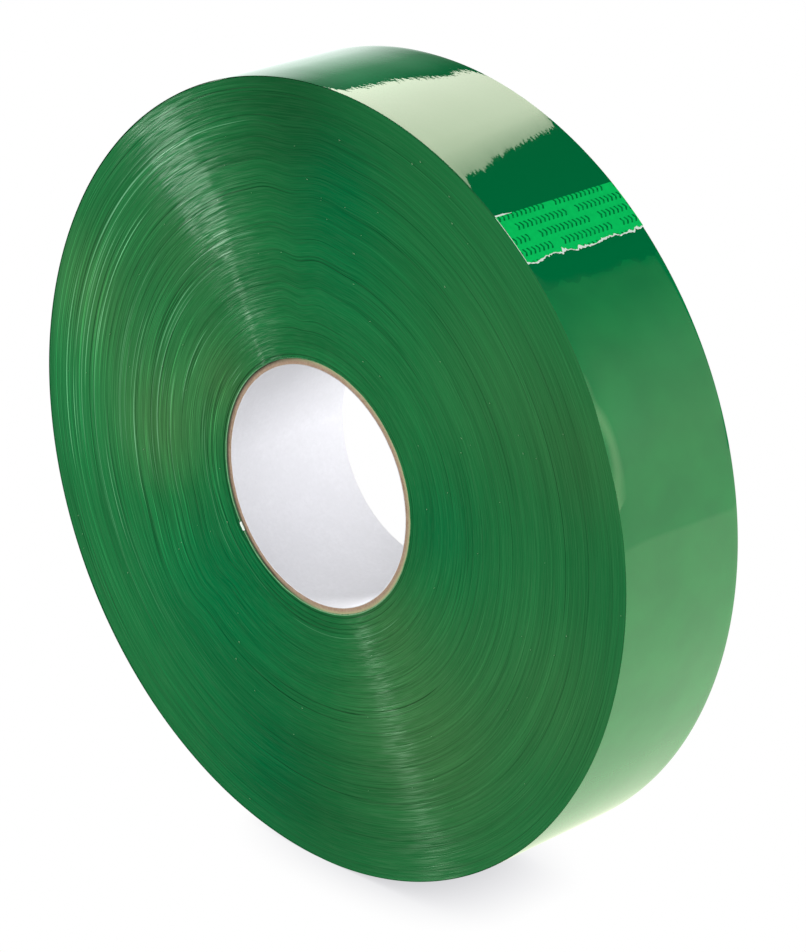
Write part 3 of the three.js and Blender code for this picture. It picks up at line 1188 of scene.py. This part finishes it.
def lamp(name, heading, distance, size, glow):
    """A broad soft lamp that looks at the roll."""
    way = direction(*heading)
    data = bpy.data.lights.new(name, "AREA")
    data.size = size
    data.energy = glow * math.pi * size**2
    return aimed(name, data, way * distance, -way)


def choose_receivers(light, state):
    """Lets a lamp light only the liner, or everything but the liner."""
    chosen = bpy.data.collections.new(light.name + "_receivers")
    chosen.objects.link(bpy.data.objects["core_liner_tube"])
    chosen.collection_objects[0].light_linking.link_state = state
    light.light_linking.receiver_collection = chosen


def rim_patch(u, v):
    """The softbox's image on the rim, from its top edge to its bottom edge and from back to front."""
    y = PATCH_HALF * (1 - 2 * v)
    top = PATCH_TOP - PATCH_TOP_SLOPE * y
    bottom = PATCH_BOTTOM + PATCH_BOTTOM_SLOPE * y
    return rim_spot(top + (bottom - top) * u, y)


def face_wedge(u, v):
    """The other softbox's image: a wedge of the side face, on the flanks of the turns."""
    (low, high), (flat, steep) = WEDGE_ANGLES, WEDGE_TILTS
    return face_spot(low + (high - low) * u, WEDGE_RADIUS, flat + (steep - flat) * v)


def studio_lights():
    softbox_seen_at("back_softbox", rim_patch, BACK_BOX_AWAY, PATCH_GLOW, PATCH_COLOUR, PATCH_FADE)
    softbox_seen_at("left_softbox", face_wedge, LEFT_BOX_AWAY, WEDGE_GLOW)
    choose_receivers(lamp("front_lamp", *FRONT_LAMP), "EXCLUDE")
    choose_receivers(lamp("bore_lamp", *BORE_LAMP), "INCLUDE")


# Mirrored, the walls and the table look warm on the right and cool on the left.
WARM = (0.94, 1.0, 0.77)
COOL = (0.92, 1.0, 0.97)

# Brightness of the walls by elevation. The left one starts between two azimuths.
RIGHT_WALL = [(-20, 1.35), (8, 1.3), (14, 1.1), (22, 0.8), (27, 0.5), (33, 0.24), (38, 0.15), (60, 0.1)]
LEFT_WALL = [(-20, 1.35), (0, 1.3), (8, 0.85), (15, 0.28), (25, 0.02), (60, 0.0)]
FRONT_WALL = [(-20, 0.7), (10, 0.7), (60, 0.5), (90, 0.2)]
LEFT_START = (72, 100)
WORLD_TOP = 2.8
BACKDROP = 1.05

# The right wall ends at an edge that leans a little. It has a bright strip, soft at its sides and top.
WALL_END = 51.2
WALL_LEAN = 0.3
WALL_SOFT = 0.8
STRIP_AZIMUTH = 29
STRIP_EDGES = (11, 2)
STRIP_TOP = (32, 26)


def world():
    """White walls that brighten towards the floor, under a dark ceiling. The camera sees plain white."""
    studio = bpy.data.worlds.new("studio")
    bpy.context.scene.world = studio
    studio.use_nodes = True
    studio.node_tree.nodes.clear()
    n = Tree(studio.node_tree)
    x, y, z = n.split(n.add("ShaderNodeTexCoord").outputs["Generated"])
    elevation = n.math("DEGREES", n.math("ARCSINE", z))
    azimuth = n.math("DEGREES", n.math("ARCTAN2", y, x))

    def wall(stops):
        low, high = stops[0][0], stops[-1][0]
        shares = [((place - low) / (high - low), (level / WORLD_TOP,) * 3) for place, level in stops]
        return n.ramp(n.range(elevation, low, high), shares)

    slanted = n.math("MULTIPLY_ADD", elevation, -WALL_LEAN, azimuth)
    before_end = n.range(slanted, WALL_END + WALL_SOFT, WALL_END - WALL_SOFT)
    right = n.mix(before_end, BLACK, wall(RIGHT_WALL))
    aside = n.math("ABSOLUTE", n.math("SUBTRACT", azimuth, STRIP_AZIMUTH))
    strip = n.times(n.range(aside, *STRIP_EDGES), n.range(elevation, *STRIP_TOP))
    right = n.mix(strip, right, WHITE)
    to_left = n.range(azimuth, *LEFT_START)
    behind = n.mix(to_left, right, wall(LEFT_WALL))
    walls = n.mix(n.range(y, 0.12, -0.12), behind, wall(FRONT_WALL))
    rays = n.add("ShaderNodeLightPath").outputs
    tinted = n.multiplied(walls, n.mix(to_left, WARM, COOL))
    walls = n.mix(rays["Is Glossy Ray"], walls, tinted)
    lit = n.add("ShaderNodeBackground", {"Color": walls, "Strength": WORLD_TOP}).outputs[0]
    seen = n.add("ShaderNodeBackground", {"Color": (*WHITE, 1), "Strength": BACKDROP}).outputs[0]
    both = n.add("ShaderNodeMixShader", {0: rays["Is Camera Ray"], 1: lit, 2: seen}).outputs[0]
    n.add("ShaderNodeOutputWorld", {0: both})


# The table and its painted soft shadow, in metres. Its glows are near the roll, out to its reach and
# beyond;
# the lower glow near the roll is a painted shadow of the roll.
TABLE_HALF = 4.0
TABLE_NEAR = (0.09, 0.24)
TABLE_REACH = 0.75
TABLE_SOFT = 0.03
TABLE_GLOWS = (0.9, 1.75, 1.3)
TABLE_FRONT = 0.45
SHADOW_REACH = 0.022
SHADOW_LEAN = (-0.8, 0.3, 0.52)
SHADOW_CENTRE = (0.018, 0.002, FLOOR_Z)
SHADOW_FADE = (0.012, 0.066)
SHADOW_SHADES = [(0.25, (0.64, 0.64, 0.66)), (0.7, (0.86, 0.86, 0.875)), (0.97, WHITE)]


def floor():
    """A white table. Straight on it shows only a painted soft shadow by the contact; mirrored, it glows."""
    mesh = bpy.data.meshes.new("floor")
    half = TABLE_HALF
    corners = [(-half, -half), (half, -half), (half, half), (-half, half)]
    mesh.from_pydata([(x, y, FLOOR_Z) for x, y in corners], [], [(0, 1, 2, 3)])
    n = Nodes("pale_floor")
    reach = {"Distance": SHADOW_REACH, "Normal": SHADOW_LEAN}
    open_near = n.add("ShaderNodeAmbientOcclusion", reach, samples=16).outputs["AO"]
    grain = n.range(n.noise(n.position(), 9.0), 0.3, 0.7, -0.004, 0.004)
    from_contact = n.vector("DISTANCE", n.position(), SHADOW_CENTRE)["Value"]
    fade = n.range(from_contact, *SHADOW_FADE)
    shaded = n.mix(fade, n.grey(open_near), WHITE)
    seen = n.ramp(n.math("ADD", shaded, grain), SHADOW_SHADES)
    plain = n.add("ShaderNodeEmission", {"Color": seen, "Strength": 1.0}).outputs[0]

    x, y, _ = n.split(n.position())
    away = n.length(n.position())
    near_glow, glow_level, far_glow = TABLE_GLOWS
    # Lower glow near the roll: a painted shadow of the roll in what is mirrored.
    near = n.range(away, *TABLE_NEAR, near_glow, glow_level)
    far = n.range(away, TABLE_REACH - TABLE_SOFT, TABLE_REACH + TABLE_SOFT, glow_level, far_glow)
    glow = n.times(n.math("MINIMUM", near, far), n.range(y, -0.1, 0.0, TABLE_FRONT, 1.0))
    ray = n.add("ShaderNodeLightPath").outputs
    tint = n.mix(ray["Is Glossy Ray"], WHITE, n.mix(n.range(x, -0.15, -0.4), WARM, COOL))
    mirror = n.add("ShaderNodeEmission", {"Strength": glow, "Color": tint}).outputs[0]
    both = n.add("ShaderNodeMixShader", {0: ray["Is Camera Ray"], 1: mirror, 2: plain}).outputs[0]
    n.replace_surface(both)
    mesh.materials.append(n.material)
    new_object("floor", mesh)


def build():
    film = film_material()
    torn_paper = paper_material("torn_paper", TORN_WHITE)
    # The liner gets painted shade at the front edge and at the top far in.
    liner_paper = paper_material("liner_paper", PAPER_WHITE, fibre=0.8, height=0.02, front=0.9, top=0.48)
    wound_turns(edge_material())
    last_turn(film)
    tail_lengths(film)
    tab_film(tab_material())
    tab_paper(torn_paper)
    tab_corner(torn_paper)
    core(liner_paper, kraft_material())
    start_turns(first_turns_glint_material())
    start_leader(torn_paper)
    burrs(burr_material())


build()
camera()
studio_lights()
world()
floor()
bpy.context.scene.view_settings.view_transform = "Standard"
